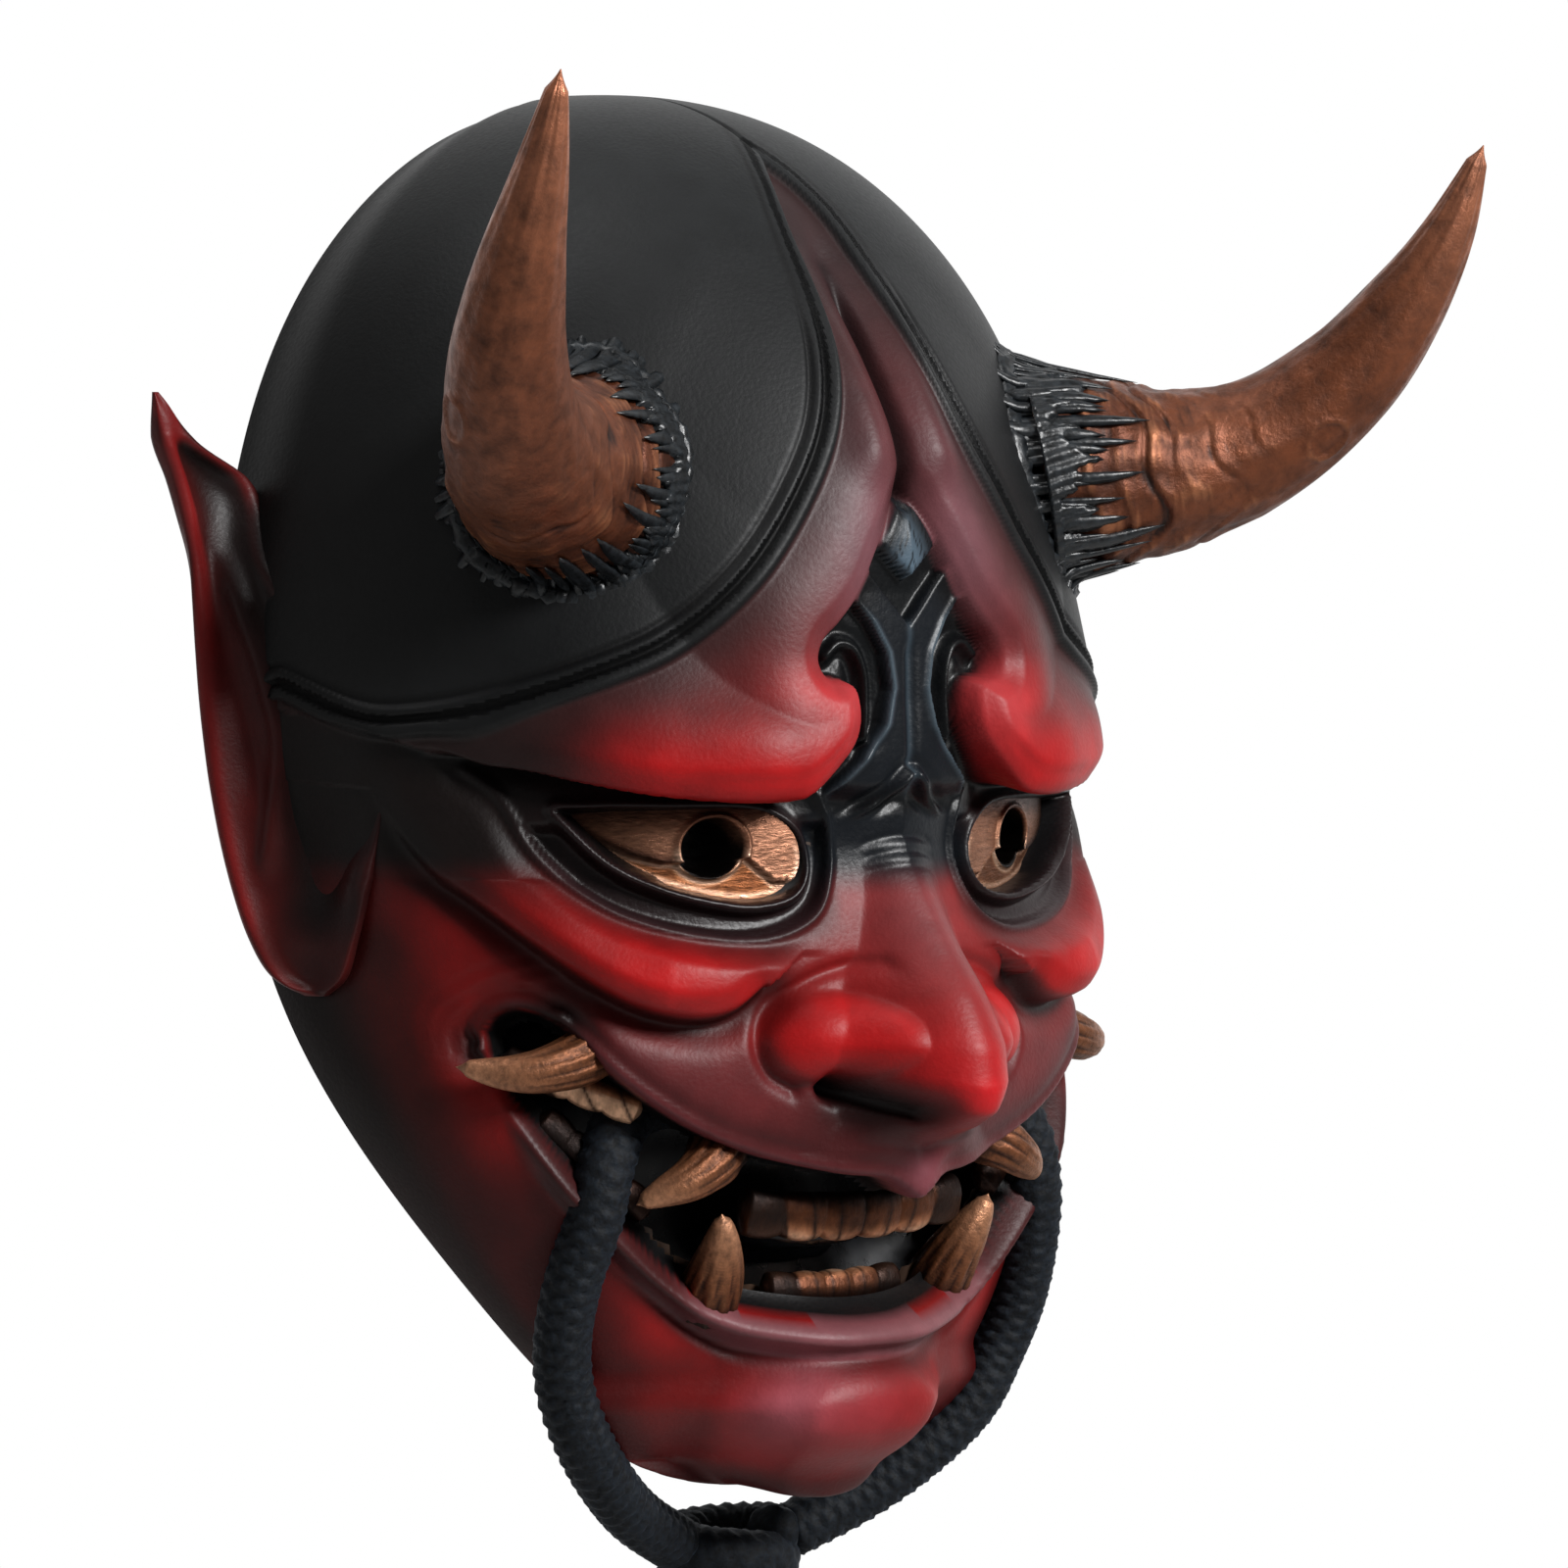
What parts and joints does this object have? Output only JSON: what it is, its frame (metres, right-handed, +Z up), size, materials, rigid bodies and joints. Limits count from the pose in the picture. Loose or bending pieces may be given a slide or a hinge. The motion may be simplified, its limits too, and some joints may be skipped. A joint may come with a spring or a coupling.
{
  "type": "horned noh mask",
  "caption": "Horned demon mask of the Noh type: hollow painted shell with pointed ears, bronze horns, gilt eyes and fangs, and a black cord looped through the mouth and knotted under the chin.",
  "frame": {"origin": "middle of the back rim's flat face at the crown, where the mask rests on a wall", "axes": "+Z up, the face looks along -Y, +X is the mask's own left side"},
  "size_m": [0.2082, 0.1118, 0.3493],
  "materials": {
    "red_paint": "carved wood under satin red paint shaded to black, with a black hair cap",
    "horn_bronze": "carved wood under bronze metallic paint",
    "hair_black": "black modelling paste with brushed strands",
    "screw_steel": "plain steel screw and washer",
    "eye_gilt": "copper-gilt sheet, satin",
    "tooth_bronze": "carved wood under worn bronze metallic paint",
    "mouth_black": "moulded black liner, satin",
    "cord_black": "braided cord, black shot with blue",
    "pad_felt": "wool felt, dark grey"
  },
  "bodies": {
    "root": {"mask_shell": "red_paint", "ear_right": "red_paint", "ear_left": "red_paint", "horn_right": "horn_bronze", "horn_left": "horn_bronze", "horn_screw_right": "screw_steel", "horn_screw_left": "screw_steel", "horn_hair_ring_right": "hair_black", "horn_hair_ring_left": "hair_black", "eye_plate_right": "eye_gilt", "eye_plate_left": "eye_gilt", "mouth_cup": "mouth_black", "tongue": "mouth_black", "upper_teeth": "tooth_bronze", "lower_teeth": "tooth_bronze", "corner_fang_right": "tooth_bronze", "corner_fang_left": "tooth_bronze", "upper_fang_right": "tooth_bronze", "upper_fang_left": "tooth_bronze", "lower_fang_right": "tooth_bronze", "lower_fang_left": "tooth_bronze", "upper_cheek_teeth_right": "tooth_bronze", "upper_cheek_teeth_left": "tooth_bronze", "lower_cheek_teeth_right": "tooth_bronze", "lower_cheek_teeth_left": "tooth_bronze", "mouth_cord": "cord_black", "chin_knot": "cord_black", "cord_tail_right": "cord_black", "cord_tail_left": "cord_black", "cord_tassel_right": "cord_black", "cord_tassel_left": "cord_black", "forehead_pad": "pad_felt", "cheek_pad_right": "pad_felt", "cheek_pad_left": "pad_felt"}
  },
  "joints": []
}
